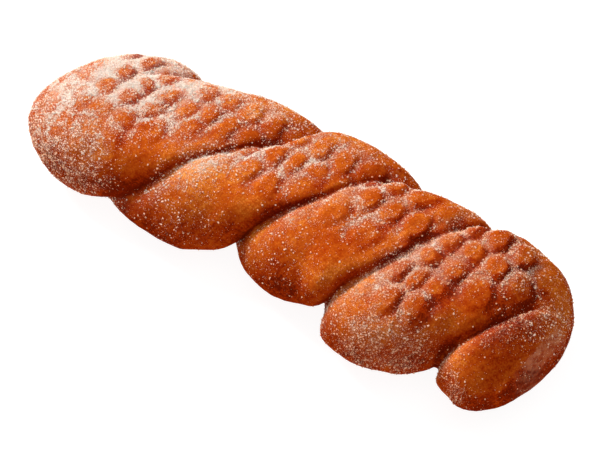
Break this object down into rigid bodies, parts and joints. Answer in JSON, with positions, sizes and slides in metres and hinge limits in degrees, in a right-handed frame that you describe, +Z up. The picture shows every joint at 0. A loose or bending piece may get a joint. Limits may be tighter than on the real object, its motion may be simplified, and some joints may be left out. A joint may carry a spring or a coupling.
{
  "type": "cinnamon twist",
  "caption": "Fried dough twist of two strands wound round each other, its crest marked in soft pads, with flats to rest on below.",
  "frame": {"origin": "under the middle of the twist, on the plane that it rests on", "axes": "+X along the twist from the blunt head to the joined tail, +Z up through the crest, +Y across it to the far side"},
  "size_m": [0.1962, 0.0676, 0.0387],
  "materials": {
    "fried_crust": "satin"
  },
  "bodies": {
    "root": {"dough_twist": "fried_crust"}
  },
  "joints": []
}
